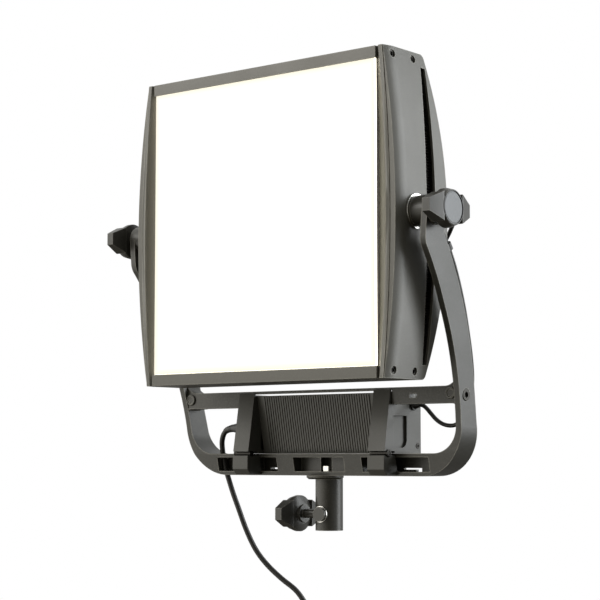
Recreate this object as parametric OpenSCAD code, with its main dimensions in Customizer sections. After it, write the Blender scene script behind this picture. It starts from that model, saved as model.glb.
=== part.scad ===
// LED panel light on a yoke, with its power supply hung in the yoke.
// Origin: centre of the stand receiver's mouth. +Z up, the panel faces -Y, +X is its right as seen from the front.

/* [Light head] */
// Width of the glowing window
window_w = 305; // [280:1:330]
// Height of the glowing window
window_h = 313; // [290:1:330]
// Height of the head over its end strips
head_h = 338; // [336:1:344]
// Depth of the head at mid-height
head_depth = 88; // [86:1:92]
// Depth of the head at its top and bottom
end_depth = 66; // [64:1:70]
// Half width over the side covers at mid-height
cover_x = 181.5; // [180.5:0.5:182]
// Bow of the side covers between mid-height and the ends
cover_bow = 15; // [14:0.5:15.5]

/* [Yoke] */
// Height of the tilt axis over the receiver's mouth
pivot_z = 327.5; // [326:0.5:332]
// Distance of the tilt axis in front of the receiver
pivot_forward = 89; // [86:1:92]
// Half width over the arms at the tilt axis
arm_x = 206; // [205.5:0.5:207]
// Width of the yoke band
band_w = 32; // [30:0.5:34]
// Thickness of the yoke band
band_t = 6.8; // [6.4:0.2:8]
// Lean of the lower yoke from vertical, in degrees
lean = 12; // [11:0.5:13]

/* [Stand receiver] */
// Outer radius of the receiver tube
receiver_r = 15.15; // [14.5:0.05:17]
// Radius of the bore for a 5/8 inch spigot
receiver_bore_r = 8.05; // [7.95:0.01:8.2]
// Depth of the bore
receiver_depth = 44; // [36:1:46]
// Height of the clamping screw over the mouth
clamp_z = 18; // [17:0.5:24]

/* [Knobs] */
// Length over a knob's wings
knob_len = 72; // [60:1:76]
// Height of a wing's tip
wing_tip_h = 13; // [10:0.5:15]
// Radius of a knob's hub
hub_r = 20; // [18:0.5:20.5]
// Radius of a knob's cap disc
cap_r = 16.8; // [14:0.2:17]

/* [Power supply] */
// Half width over the end caps
psu_x = 105; // [104:0.5:105.5]
// Width of each end cap
psu_cap_w = 22; // [20:0.5:24]
// Pitch of the cooling ribs
rib_pitch = 3.3; // [3.1:0.1:3.4]
// Number of cooling ribs on each side of the middle one
rib_pairs = 22; // [12:1:22]

/* [Leads] */
// Diameter of the mains lead
mains_d = 6; // [5.5:0.1:6.5]
// Diameter of the low voltage lead
dc_d = 4.5; // [4:0.1:5]

/* [Hidden] */
$fn = 96;
big_fn = 256;
eps = 0.02;

charcoal = [0.25, 0.25, 0.25];
dark = [0.11, 0.11, 0.11];
nickel = [0.80, 0.80, 0.78];

// Light head, in its own coordinates: y is the depth behind the front plane, z is from mid-height.
front_y = -pivot_forward - 32;
half_win_w = window_w / 2;
half_win_h = window_h / 2;
half_h = head_h / 2;
skin = 2.5;
rear_corner_r = 6;
flange_x = 171.5;
flange_bow = 9;
flange_rim = 4.4;
flange_t = 4.5;
cover_y0 = 0.8;
cover_round_y = 18;
cover_round_r = 44;
cover_in_x = 159.3;
shell_x = 158.5;
side_screw_x = 163.4;
tray_d = 30;
fan_z = 45;
fan_y = -4;
fan_r = 27.5;
console_y = 102;
console_z = -92;
dimmer_x = 75;
colour_x = 38;
button_x = 5;
rocker_x = -88;
inlet_x = 135;
inlet_z = -40;
inlet_y = 92;
pivot_depth = 32;

// Yoke side profile: a straight leaning leg, an arc above it, and an upright neck to the tilt axis.
leg_top = [-20, 154];
arc_r = 348.5;
arc_c = leg_top - arc_r * [cos(lean), sin(lean)];
arc_end = acos((-pivot_forward - arc_c[0]) / arc_r);
neck_z = arc_c[1] + arc_r * sin(arc_end);
arm_taper = 0.072;
rail_z0 = 60;
rail_z1 = 84;
corner_r = 55;
inner_corner_r = 30;
stud_r = 6;
thread_r = 4.95;

// Power supply and cross rail.
cross_z0 = 135.5;
cross_z1 = 153.5;
cross_y0 = -27.5;
cross_y1 = -17.5;
gusset_x = 173;
gusset_z0 = 128.5;
gusset_z1 = 169;
psu_z0 = 84.3;
psu_z1 = 148.5;
psu_y1 = 26;
pin_y = -34;
pin_z = 84.3;
pin_r = 3.3;
gland_y = -21;
gland_z = 113;
dc_exit = [psu_x, 12, 136];

// Mains lead, from the gland's tip down through the lower rail to the top of its coil.
mains_route = [
    [-122, -21, 113], [-132, -20, 111], [-140, -17, 106], [-145, -14, 98], [-147, -11, 89],
    [-147, -9, 80], [-145, -8, 68], [-142, -6, 56], [-138, -3, 40], [-132, 0, 22],
    [-125, 6, -3], [-116, 12, -25], [-104, 18, -42], [-88, 24, -57], [-73, 30, -69],
    [-64, 34, -81], [-58, 38, -94], [-56, 41, -108], [-56, 43, -118], [-56, 48, -126]
];
coil_c = [-50, 40, -172];
coil_mid_r = 35;
coil_rows = 4;
coil_columns = 3;
coil_pitch = mains_d + 0.2;
coil_half_r = coil_rows * coil_pitch / 2 + 0.2;
coil_half_w = coil_columns * coil_pitch / 2 + 0.3;
plug_x = coil_c[0] + coil_pitch;
plug_y = coil_c[1] + coil_mid_r + 1.5 * coil_pitch;

// Low voltage lead, from the supply up behind the right arm, through its clip, to the head's inlet.
dc_route = [
    [114, 12, 136], [118.5, 12, 134.8], [123, 12.3, 131.4], [128, 12.8, 126], [134, 13.3, 120],
    [141, 14, 115.5], [149, 14.6, 113.4], [157, 15, 114], [165, 14.5, 118.5], [173, 12.5, 127],
    [180, 9, 141], [186, 4, 160], [190, -4, 182], [193, -14, 207], [196, -27, 237],
    [198.4, -42.5, 267], [199, -53.9, 286.7], [199, -63, 299.8], [195.5, -69, 312],
    [189.5, -67, 323], [185.8, -57, 332], [185, -42, 337.5], [183, -25, 339.5], [176, -9, 337],
    [166, 3, 330], [155, 11.5, 320], [144, 15.5, 307.5], [137, 15, 296], [135, 10, 289],
    [135, 4, 287.5], [135, -0.9, 287.5]
];

function sag_radius(half, rise) = (half * half + rise * rise) / (2 * rise);
function unit(v) = v / norm(v);
function arm_out(z) = arm_x - arm_taper * (pivot_z - z);
function arm_in(z) = arm_out(z) - band_t * sqrt(1 + arm_taper * arm_taper);
function leg_y(z) = leg_top[0] + (leg_top[1] - z) * tan(lean);
function rail_front(z) = leg_y(z) - band_w / 2 / cos(lean);
function circle_centre(a, b, c) =
    let (d = 2 * (a[0] * (b[1] - c[1]) + b[0] * (c[1] - a[1]) + c[0] * (a[1] - b[1])))
    [
        (a * a) * (b[1] - c[1]) + (b * b) * (c[1] - a[1]) + (c * c) * (a[1] - b[1]),
        (a * a) * (c[0] - b[0]) + (b * b) * (a[0] - c[0]) + (c * c) * (b[0] - a[0])
    ] / d;
rear_r = sag_radius(half_h, head_depth - end_depth);
flange_r = sag_radius(half_h, flange_bow);
cover_r = sag_radius(half_h, cover_bow);

// 2D profile in (y, z), extruded along X.
module along_x(x0, x1)
    translate([x0, 0, 0]) rotate([90, 0, 90]) linear_extrude(x1 - x0) children();

// 2D profile in (x, z), extruded along Y.
module along_y(y0, y1)
    translate([0, y1, 0]) rotate([90, 0, 0]) linear_extrude(y1 - y0) children();

module rod_x(x0, x1, r, y = 0, z = 0)
    translate([x0, y, z]) rotate([0, 90, 0]) cylinder(r = r, h = x1 - x0);

module rod_y(y0, y1, r, x = 0, z = 0)
    translate([x, y0, z]) rotate([-90, 0, 0]) cylinder(r = r, h = y1 - y0);

module rod_z(z0, z1, r, x = 0, y = 0)
    translate([x, y, z0]) cylinder(r = r, h = z1 - z0);

module box(a, b) translate(a) cube(b - a);

module in_head() translate([0, front_y, pivot_z]) children();

module both_sides() {
    children();
    mirror([1, 0, 0]) children();
}

// Smooth curve through hand-chosen points, then a tube of rings along it.
function curve_point(a, b, c, d, t) =
    0.5 * (2 * b + (c - a) * t + (2 * a - 5 * b + 4 * c - d) * t * t
        + (3 * b - a - 3 * c + d) * t * t * t);
function curve(p, steps) = let (n = len(p) - 1) [
    for (i = [0 : n - 1])
        for (s = [0 : steps - 1])
            curve_point(p[max(i - 1, 0)], p[i], p[i + 1], p[min(i + 2, n)], s / steps),
    p[n]
];
function tangents(p) = let (n = len(p) - 1) [
    for (i = [0 : n]) unit(p[min(i + 1, n)] - p[max(i - 1, 0)])
];
function sides_of(t, i, u) = i >= len(t) ? [] :
    let (v = unit(u - (u * t[i]) * t[i])) concat([v], sides_of(t, i + 1, v));

module tube(path, r, sides) {
    t = tangents(path);
    u = sides_of(t, 0, [0.1, 0.2, 1]);
    n = len(path);
    ring_points = [
        for (i = [0 : n - 1])
            for (k = [0 : sides - 1])
                let (a = 360 * k / sides)
                path[i] + r * (cos(a) * u[i] + sin(a) * cross(t[i], u[i]))
    ];
    walls = [
        for (i = [0 : n - 2])
            for (k = [0 : sides - 1])
                let (a = i * sides + k, b = i * sides + (k + 1) % sides)
                [a, a + sides, b + sides, b]
    ];
    start_cap = [for (k = [0 : sides - 1]) k];
    end_cap = [for (k = [sides - 1 : -1 : 0]) (n - 1) * sides + k];
    polyhedron(points = ring_points, faces = concat([start_cap], walls, [end_cap]), convexity = 6);
}

// ---------- Light head ----------

// Side outline of the head: straight front, bowed rear.
module head_outline(inset = 0, y0 = 0) {
    z = half_h - rear_corner_r;
    y = head_depth - rear_r + sqrt((rear_r - rear_corner_r) * (rear_r - rear_corner_r) - z * z);
    a = asin(z / (rear_r - rear_corner_r));
    difference() {
        intersection() {
            translate([head_depth - rear_r, 0]) circle(r = rear_r - inset, $fn = big_fn);
            translate([y0, -half_h + inset]) square([head_depth, head_h - 2 * inset]);
        }
        for (s = [0, 1]) mirror([0, s]) translate([y, z]) difference() {
            polygon([[0, 0], [0, 12], [14, 12], 16 * [cos(a), sin(a)]]);
            circle(r = rear_corner_r - inset);
        }
    }
}

module bowed_outline(x_mid, r)
    translate([x_mid - r, 0]) circle(r = r, $fn = big_fn);

module bezel_strip() {
    color(charcoal) in_head() difference() {
        box([-154.5, 0, half_win_h], [154.5, 12, half_h]);
        box([-150, 3, half_win_h + 3], [150, 13, half_h - 3]);
    }
}

module bezel_top() bezel_strip();

module bezel_bottom()
    translate([0, 0, 2 * pivot_z]) mirror([0, 0, 1]) bezel_strip();

// A flat rim with a round hollow that falls towards the window. It bows with the side of the head.
module side_frame() {
    r = flange_r;
    hollow = [r - flange_rim - 15.6, -12];
    color(charcoal) in_head() intersection() {
        translate([flange_x - r, 0, 0]) rotate([-90, 0, 0]) rotate([0, 0, -10])
            rotate_extrude(angle = 20, $fn = big_fn) difference() {
                polygon([
                    [r - 30, 0], [r, 0], [r, flange_t], [r - 3.6, flange_t], [r - 3.6, 14], [r - 30, 14]
                ]);
                translate(hollow) circle(r = norm([r - flange_rim, 0] - hollow));
            }
        union() {
            along_y(0, flange_t) {
                translate([154.7, -half_h]) square([30, head_h]);
                translate([half_win_w + 0.2, -half_win_h + 0.1]) square([20, window_h - 0.2]);
            }
            along_y(flange_t - 1, 14) translate([half_win_w + 0.2, -half_win_h + 0.1]) square([40, window_h - 0.2]);
        }
    }
}

module side_frame_right() side_frame();

module side_frame_left() mirror([1, 0, 0]) side_frame();

// Revolved about an axis along Y far inside the head, so that the cover bows and its front edge is rounded.
module cover_ring(inset, y0)
    translate([cover_x - cover_r, 0, 0]) rotate([-90, 0, 0]) rotate([0, 0, -11])
        rotate_extrude(angle = 22, $fn = big_fn) translate([cover_r, 0]) intersection() {
            union() {
                translate([-30, cover_round_y]) square([30 - inset, 100]);
                translate([-cover_round_r, cover_round_y]) circle(r = cover_round_r - inset);
            }
            translate([-30, y0]) square([30, 130]);
        }

module vent_outline()
    intersection() {
        translate([50.7 + 1486, 0]) circle(r = 1486, $fn = 2 * big_fn);
        translate([40, -154]) square([26.5, 308]);
    }

module side_screw_places()
    for (z = [-161, 161])
        for (y = [11.6, 47])
            translate([0, y, z]) children();

module side_cover() {
    color(charcoal) in_head() difference() {
        union() {
            difference() {
                intersection() {
                    along_x(cover_in_x, cover_x + 1) head_outline(0, cover_y0);
                    cover_ring(0, cover_y0);
                }
                intersection() {
                    along_x(cover_in_x - 1, cover_x + 1) head_outline(skin, cover_y0 + skin);
                    cover_ring(skin, cover_y0 + skin);
                }
            }
            rod_x(cover_in_x, cover_x - 1.2, 13, pivot_depth, 0);
            side_screw_places() rod_x(side_screw_x - 1.1, side_screw_x + 2.7, 5.4);
        }
        along_x(cover_in_x - 1, cover_x + 2) vent_outline();
        along_y(-1, flange_t + 0.3) bowed_outline(flange_x + 0.3, flange_r);
        rod_x(cover_in_x - 1, cover_x + 2, stud_r + eps, pivot_depth, 0);
        side_screw_places() rod_x(side_screw_x, cover_x, 4.1);
    }
}

module side_cover_right() side_cover();

module side_cover_left() mirror([1, 0, 0]) side_cover();

module side_screws() {
    color(dark) in_head() both_sides() side_screw_places() difference() {
        rod_x(side_screw_x, side_screw_x + 2.8, 4);
        translate([side_screw_x + 1.3, 0, 0]) rotate([0, 90, 0]) cylinder(r = 2.4, h = 3, $fn = 6);
    }
}

module rear_shell() {
    color(charcoal) in_head() difference() {
        union() {
            along_x(-shell_x, shell_x) head_outline(0, 12.2);
            rod_y(83 + fan_y, 98.5 + fan_y, 36, 0, fan_z);
        }
        intersection() {
            along_x(-shell_x + skin, shell_x - skin) head_outline(skin, 0);
            difference() {
                box([-200, 0, -200], [200, 120, 200]);
                rod_y(83 + fan_y, 99, 36, 0, fan_z);
            }
        }
        rod_y(70, 110, fan_r + 0.5, 0, fan_z);
        box([-200, 0, -half_h + skin + 0.3], [200, 14.2, half_h - skin - 0.3]);
        for (z = [-150 : 6 : -132]) box([-90, 40, z], [90, 120, z + 2.5]);
        for (z = [110 : 6 : 140]) box([-110, 40, z], [110, 120, z + 2.5]);
        both_sides() rod_x(shell_x - 4, shell_x + 1, stud_r + 1, pivot_depth, 0);
    }
}

module diffuser() {
    color([0.96, 0.95, 0.92]) in_head()
        box([-half_win_w + 0.2, 1.2, -half_win_h + 0.2], [half_win_w - 0.2, 4.2, half_win_h - 0.2]);
}

module light_box() {
    color([0.9, 0.9, 0.9]) in_head() difference() {
        box([-half_win_w + 0.2, 4.4, -half_win_h + 0.2], [half_win_w - 0.2, tray_d, half_win_h - 0.2]);
        box([-half_win_w + 2.2, 4, -half_win_h + 2.2], [half_win_w - 2.2, tray_d + 1, half_win_h - 2.2]);
    }
}

module led_board() {
    color([0.92, 0.92, 0.9]) in_head() box([-149.5, 30.2, -149.5], [149.5, 31.8, 149.5]);
}

module led_emitters() {
    color([0.95, 0.85, 0.45]) in_head()
        for (x = [-132 : 24 : 132])
            for (z = [-132 : 24 : 132])
                box([x - 2.5, 29.2, z - 2.5], [x + 2.5, 30.2, z + 2.5]);
}

module heat_sink() {
    color([0.6, 0.6, 0.62]) in_head() {
        box([-149.5, 32, -149.5], [149.5, 36, 149.5]);
        for (x = [-137.5 : 12.5 : 137.5]) box([x - 0.9, 35.5, -138], [x + 0.9, 60, 138]);
    }
}

module driver_board() {
    color([0.05, 0.3, 0.15]) in_head() {
        box([-95, 62, -125], [95, 63.6, -70]);
        for (x = [-75, -45, 40]) box([x, 63.4, -112], [x + 18, 69, -92]);
        for (x = [-10, 5, 20, 75]) rod_y(63.4, 74, 5, x, -84);
    }
}

module fan_frame() {
    color(dark) in_head() translate([0, fan_y, fan_z]) difference() {
        union() {
            difference() {
                box([-30, 68, -30], [30, 83, 30]);
                rod_y(60, 90, fan_r);
            }
            rod_y(68, 70, 9);
            for (a = [0, 120, 240]) rotate([0, a, 0]) box([-1.5, 68, 0], [1.5, 70, 28.5]);
        }
        rod_y(60, 90, 1.55);
    }
}

module fan_rotor() {
    color([0.15, 0.15, 0.16]) in_head() translate([0, fan_y, fan_z]) {
        rod_y(70.5, 81, 10);
        rod_y(68.2, 71, 1.5);
        for (a = [0 : 360 / 7 : 359]) rotate([0, a, 0]) intersection() {
            translate([0, 75.7, 17.5]) rotate([0, 0, 38]) cube([1.4, 11.5, 19], center = true);
            rod_y(70.8, 80.8, 26.6);
        }
    }
}

module fan_grille() {
    color(dark) in_head() translate([0, fan_y, fan_z]) {
        difference() {
            rod_y(98.5, 100.3, 36);
            rod_y(98, 101, 29);
        }
        for (r = [7, 14.5, 22]) difference() {
            rod_y(98.5, 100.3, r + 1);
            rod_y(98, 101, r - 1);
        }
        for (a = [45, 135]) rotate([0, a, 0]) box([-1.2, 98.5, -30], [1.2, 100.3, 30]);
    }
}

module control_console() {
    color(dark) in_head() difference() {
        box([-108, 74, -124], [108, console_y, -60]);
        along_x(-110, 110) translate([head_depth - rear_r, 0]) circle(r = rear_r, $fn = big_fn);
        box([-75, console_y - 1.5, -106], [-20, console_y + 1, -78]);
        rod_y(80, console_y + 1, 3.05, dimmer_x, console_z);
        rod_y(80, console_y + 1, 3.05, colour_x, console_z);
        rod_y(94, console_y + 1, 4.2, button_x, -83);
        rod_y(94, console_y + 1, 4.2, button_x, -101);
        intersection() {
            rod_x(rocker_x - 6.3, rocker_x + 6.3, 11.3, 95, console_z);
            box([-120, 92.5, -120], [0, 120, -60]);
        }
    }
}

module display_window() {
    color([0.02, 0.03, 0.04]) in_head()
        box([-74.8, console_y - 1.4, -105.8], [-20.2, console_y + 0.1, -78.2]);
}

module encoder_knob(x) {
    color(dark) in_head() {
        rod_y(90, 104, 3, x, console_z);
        rod_y(console_y + 0.3, console_y + 12, 11, x, console_z);
        rod_y(console_y + 12, console_y + 13, 10, x, console_z);
    }
}

module dimmer_knob() encoder_knob(dimmer_x);

module colour_knob() encoder_knob(colour_x);

module push_button(z) {
    color([0.35, 0.35, 0.36]) in_head() {
        rod_y(95.5, console_y + 1.4, 3.9, button_x, z);
    }
}

module menu_button() push_button(-83);

module mode_button() push_button(-101);

module power_rocker() {
    color([0.6, 0.05, 0.04]) in_head() difference() {
        intersection() {
            rod_x(rocker_x - 6, rocker_x + 6, 10.9, 95, console_z);
            box([-120, 94.6, -120], [0, 120, -60]);
        }
        rod_x(rocker_x - 7, rocker_x + 7, 22, 125.6, console_z);
    }
}

module dc_inlet() {
    color(dark) in_head() difference() {
        rod_y(80, inlet_y, 10, inlet_x, inlet_z);
        along_x(100, 160) translate([head_depth - rear_r, 0]) circle(r = rear_r, $fn = big_fn);
        rod_y(inlet_y - 3.5, inlet_y + 1, 5, inlet_x, inlet_z);
    }
}

module dc_plug() {
    color(dark) in_head() {
        rod_y(inlet_y - 3.2, inlet_y + 1, 4.9, inlet_x, inlet_z);
        rod_y(inlet_y + 0.2, inlet_y + 16, 7.5, inlet_x, inlet_z);
        translate([inlet_x, inlet_y + 16, inlet_z]) rotate([-90, 0, 0])
            cylinder(r1 = 5.5, r2 = dc_d / 2 + 0.6, h = 12);
    }
}

// ---------- Tilt pivots ----------

module pivot_washers() {
    color(nickel) in_head() both_sides() difference() {
        rod_x(cover_x, cover_x + 2.2, 18.2, pivot_depth, 0);
        rod_x(cover_x - 1, cover_x + 4, stud_r + eps, pivot_depth, 0);
    }
}

module pivot_studs() {
    color([0.2, 0.2, 0.2]) in_head() both_sides() translate([0, pivot_depth, 0]) {
        rod_x(shell_x + 0.1, arm_x + 0.5, stud_r);
        rod_x(arm_x + 0.4, arm_x + 13, thread_r);
    }
}

// ---------- Knobs, drawn about +Z with the back of the neck at z = 0 ----------

knob_h = 18;
knob_face = 21;
function tip_point() = [knob_len / 2, wing_tip_h / 2];
function tangent_angle() = let (t = tip_point()) atan2(t[1], t[0]) + acos(hub_r / norm(t));

module knob_front_outline() {
    t = tip_point();
    a = tangent_angle();
    q = hub_r * [cos(a), sin(a)];
    circle(r = hub_r);
    polygon([
        [t[0], t[1]], [q[0], q[1]], [-q[0], q[1]], [-t[0], t[1]],
        [-t[0], -t[1]], [-q[0], -q[1]], [q[0], -q[1]], [t[0], -t[1]]
    ]);
}

// Along the wings, seen from above: the tips are thinner than the hub and set back from the cap.
module knob_top_outline() {
    e = knob_len / 2 + 1;
    polygon([
        [-e, 4.8], [-e, 13.3], [-cap_r - 1, knob_h], [cap_r + 1, knob_h],
        [e, 13.3], [e, 4.8], [hub_r * 0.7, 2.5], [-hub_r * 0.7, 2.5]
    ]);
}

// The hub tapers from its widest girth to the cap and to the neck.
module knob_girth_outline() {
    polygon([
        [0, 2.5], [11, 2.5], [hub_r, 6.5], [hub_r, 11], [cap_r + 1.2, knob_h], [0, knob_h]
    ]);
}

module wing_knob(bore_depth) {
    color([0.2, 0.2, 0.2]) difference() {
        union() {
            cylinder(r = 10, h = 4);
            intersection() {
                linear_extrude(knob_h) knob_front_outline();
                translate([0, 25, 0]) rotate([90, 0, 0]) linear_extrude(50) knob_top_outline();
                union() {
                    rotate_extrude() knob_girth_outline();
                    difference() {
                        translate([-40, -25, 0]) cube([80, 50, knob_h]);
                        translate([-hub_r * 0.8, -26, 0]) cube([hub_r * 1.6, 52, 30]);
                    }
                }
            }
        }
        translate([0, 0, knob_h - 1.6]) cylinder(r = cap_r + 0.05, h = 3);
        translate([0, 0, -1]) cylinder(r = thread_r + 0.06, h = bore_depth + 1);
    }
}

module knob_cap() {
    color([0.5, 0.5, 0.5]) translate([0, 0, knob_h - 1.6]) {
        cylinder(r = cap_r, h = 1.2);
        cylinder(r = cap_r - 1.5, h = 1.5);
    }
}

module place_tilt_knob()
    translate([arm_x + knob_face - knob_h, -pivot_forward, pivot_z]) rotate([0, 90, 0])
        rotate([0, 0, 90]) children();

module tilt_washer_right() {
    color([0.85, 0.85, 0.82]) translate([0, -pivot_forward, pivot_z]) difference() {
        rod_x(arm_x + 0.8, arm_x + knob_face - knob_h, 12);
        rod_x(arm_x, arm_x + knob_face, thread_r + 0.35);
    }
}

module tilt_washer_left() mirror([1, 0, 0]) tilt_washer_right();

module tilt_knob_right() place_tilt_knob() wing_knob(13);

module tilt_cap_right() place_tilt_knob() knob_cap();

module tilt_knob_left() mirror([1, 0, 0]) place_tilt_knob() wing_knob(13);

module tilt_cap_left() mirror([1, 0, 0]) place_tilt_knob() knob_cap();

// ---------- Yoke ----------

module yoke_side_outline() {
    translate(leg_top) rotate(lean) {
        translate([-band_w / 2, -115]) square([band_w, 115]);
        translate([-band_w / 2 + 0.05, -3]) square([band_w - 0.1, 6]);
    }
    intersection() {
        translate(arc_c) difference() {
            circle(r = arc_r + band_w / 2, $fn = big_fn);
            circle(r = arc_r - band_w / 2, $fn = big_fn);
        }
        polygon([
            arc_c, arc_c + 600 * [cos(lean), sin(lean)], arc_c + 600 * [cos(arc_end), sin(arc_end)]
        ]);
    }
    translate([-pivot_forward, neck_z]) circle(r = band_w / 2);
    translate([-pivot_forward - band_w / 2, neck_z]) square([band_w, pivot_z - neck_z]);
}

// Hollows the front edge of the lower arm, so that the band narrows towards the rail.
module yoke_front_hollow() {
    a = arc_c + (arc_r - band_w / 2) * [cos(27.5), sin(27.5)];
    c = circle_centre(a, [rail_front(137) + 4.5, 137], [rail_front(rail_z1), rail_z1]);
    translate(c) circle(r = norm(a - c), $fn = big_fn);
}

module yoke_outer_outline() {
    z = rail_z0 + corner_r;
    cx = arm_out(z) - corner_r;
    for (s = [-1, 1]) translate([s * cx, z]) circle(r = corner_r);
    translate([-cx, rail_z0]) square([2 * cx, corner_r]);
    polygon([
        [-arm_out(z), z], [arm_out(z), z], [arm_out(pivot_z), pivot_z], [-arm_out(pivot_z), pivot_z]
    ]);
}

module yoke_inner_outline() {
    z = rail_z1 + inner_corner_r;
    cx = arm_in(z) - inner_corner_r;
    for (s = [-1, 1]) translate([s * cx, z]) circle(r = inner_corner_r);
    translate([-cx, rail_z1]) square([2 * cx, inner_corner_r]);
    polygon([
        [-arm_in(z), z], [arm_in(z), z], [arm_in(pivot_z + 9), pivot_z + 9],
        [-arm_in(pivot_z + 9), pivot_z + 9]
    ]);
}

// The lower rail's open bays, in x
bays = [[-146.7, -92.3], [-89.7, -59], [-35, 35], [59, 89.7], [92.3, 146.7]];

// Outline of the pocket that follows a lower corner of the yoke, in (x, z).
module corner_pocket() {
    outer_z = rail_z0 + corner_r;
    inner_z = rail_z1 + inner_corner_r;
    difference() {
        translate([arm_out(outer_z) - corner_r, outer_z]) circle(r = corner_r - 4.5);
        translate([arm_in(inner_z) - inner_corner_r, inner_z]) circle(r = inner_corner_r + 4);
        translate([0, 40]) square([146, 140]);
        translate([140, inner_z]) square([60, 80]);
    }
}

module yoke() {
    color(charcoal) difference() {
        union() {
            intersection() {
                along_x(-220, 220) difference() {
                    yoke_side_outline();
                    yoke_front_hollow();
                }
                along_y(-120, 30) difference() {
                    yoke_outer_outline();
                    yoke_inner_outline();
                }
            }
            both_sides() rod_x(cover_x + 2.5, arm_x + 0.5, 15.8, -pivot_forward, pivot_z);
        }
        both_sides() {
            rod_x(cover_x, arm_x + 5, stud_r + 0.06, -pivot_forward, pivot_z);
            rod_x(170, 200, 3.3, leg_y(144), 144);
            rod_x(190, 200, 6.6, leg_y(144), 144);
        }
        for (bay = bays) {
            box([bay[0], -40, 64.5], [bay[1], -5, 80]);
            if (bay[0] * bay[1] > 0) box([bay[0], -1, 64.5], [bay[1], 40, 80]);
        }
        both_sides() {
            along_y(-1, 40) corner_pocket();
            box([60, -10, 67], [80, 10, 68.6]);
            box([63, -10, 64.6], [69, 10, 68.6]);
            box([105, -10, 67], [127, 10, 68.6]);
            box([121, -10, 64.6], [128, 10, 68.6]);
        }
        rod_z(64.5, 80, 9);
        rod_z(50, 70, 4.1);
        for (x = [-148, -140]) rod_z(50, 90, 5.5, x, -8);
        box([-148, -13.5, 50], [-140, -2.5, 90]);
    }
}

module cross_rail() {
    color(charcoal) difference() {
        union() {
            along_y(cross_y0, cross_y1) polygon([
                [-arm_in(cross_z0), cross_z0], [arm_in(cross_z0), cross_z0],
                [arm_in(cross_z1), cross_z1], [-arm_in(cross_z1), cross_z1]
            ]);
            both_sides() along_y(cross_y0, -8) difference() {
                polygon([
                    [gusset_x, cross_z0], [gusset_x + 8, cross_z0], [gusset_x + 8, gusset_z0],
                    [arm_in(gusset_z0), gusset_z0], [arm_in(gusset_z1), gusset_z1], [gusset_x, gusset_z1]
                ]);
                translate([gusset_x, gusset_z1]) circle(r = gusset_z1 - cross_z1);
                translate([gusset_x + 8, gusset_z0]) circle(r = cross_z0 - gusset_z0);
            }
        }
        box([-105.6, -40, 130], [105.6, 0, 150.6]);
        box([128, -40, 142], [137.5, 0, 146.3]);
        both_sides() rod_x(170, 200, 3.05, leg_y(144), 144);
    }
}

module cross_rail_screws() {
    color(dark) both_sides() translate([0, leg_y(144), 144]) difference() {
        union() {
            rod_x(176, 191, 3);
            rod_x(190, 193.4, 6.4);
        }
        translate([191, 0, 0]) rotate([0, 90, 0]) cylinder(r = 3.2, h = 4, $fn = 6);
    }
}

// ---------- Power supply ----------

// Depth of the ribbed front, which leans back towards the rail.
function psu_front(z) = -25.3 + 13 * (psu_z1 - z) / (psu_z1 - psu_z0);

module psu_section(in, z0, z1)
    polygon([[psu_front(z0) + in, z0], [psu_y1 - in, z0], [psu_y1 - in, z1], [psu_front(z1) + in, z1]]);

module psu_body() {
    x = psu_x - psu_cap_w;
    color(charcoal) difference() {
        union() {
            along_x(-x, x) psu_section(0, psu_z0, psu_z1);
            for (i = [-rib_pairs : rib_pairs]) along_x(i * rib_pitch - 0.95, i * rib_pitch + 0.95) polygon([
                [psu_front(85.5) - 1.2, 85.5], [psu_front(85.5) + 1, 85.5],
                [psu_front(147.5) + 1, 147.5], [psu_front(147.5) - 1.2, 147.5]
            ]);
        }
        along_x(-x - 1, x + 1) psu_section(2.6, psu_z0 + 2.5, psu_z1 - 2.5);
    }
}

module psu_cap() {
    color([0.3, 0.3, 0.3]) difference() {
        along_x(psu_x - psu_cap_w, psu_x) polygon([
            [-29.5, 151.4], [-40.5, 86.5], [-22.3, 86.5], [-22.3, psu_z0], [psu_y1, psu_z0],
            [psu_y1, psu_z1 + 1], [-27.7, psu_z1 + 1], [-27.7, 151.4]
        ]);
        box([0, -18, psu_z0 + 4], [psu_x - 4, psu_y1 - 4, psu_z1 - 4]);
        rod_x(80, 110, pin_r + eps, pin_y, pin_z);
    }
}

// Recess in the right cap's outer face, round at its lower rear corner.
module cap_recess() {
    box([102, -24, 99], [110, 0, 124]);
    box([102, -24, 90], [110, -9, 124]);
    rod_x(102, 110, 9, -9, 99);
}

module psu_cap_right()
    difference() {
        psu_cap();
        cap_recess();
        rod_x(99, 110, 3.05, dc_exit[1], dc_exit[2]);
        psu_screw_places() rod_x(104, 110, 3.1);
    }

module psu_cap_left()
    mirror([1, 0, 0]) difference() {
        psu_cap();
        rod_x(99, 110, 4.05, gland_y, gland_z);
        psu_screw_places() rod_x(104, 110, 3.1);
    }

module psu_screw_places()
    for (p = [[-21, 143], [20, 92], [20, 143]]) translate([0, p[0], p[1]]) children();

module psu_screws() {
    color(dark) both_sides() psu_screw_places() difference() {
        rod_x(104, 105.6, 3);
        translate([104.6, 0, 0]) rotate([0, 90, 0]) cylinder(r = 1.5, h = 3, $fn = 6);
    }
}

module psu_board() {
    color([0.1, 0.32, 0.15]) {
        box([-78, -8, 90], [78, 20, 91.6]);
        box([-60, -6, 91.4], [-30, 14, 118]);
        box([0, -6, 91.4], [28, 12, 122]);
        for (x = [-15, 42, 58]) rod_z(91.4, 120, 7, x, 3);
    }
}

module psu_brackets() {
    color([0.3, 0.3, 0.3]) both_sides() difference() {
        along_x(psu_x - psu_cap_w, psu_x) polygon([
            [rail_front(61) - 0.05, 61], [-36, 61], [-41.5, 67], [-41.2, 82],
            [rail_front(82) - 0.05, 82]
        ]);
        rod_x(80, 110, pin_r + eps, pin_y, pin_z);
    }
}

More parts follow.
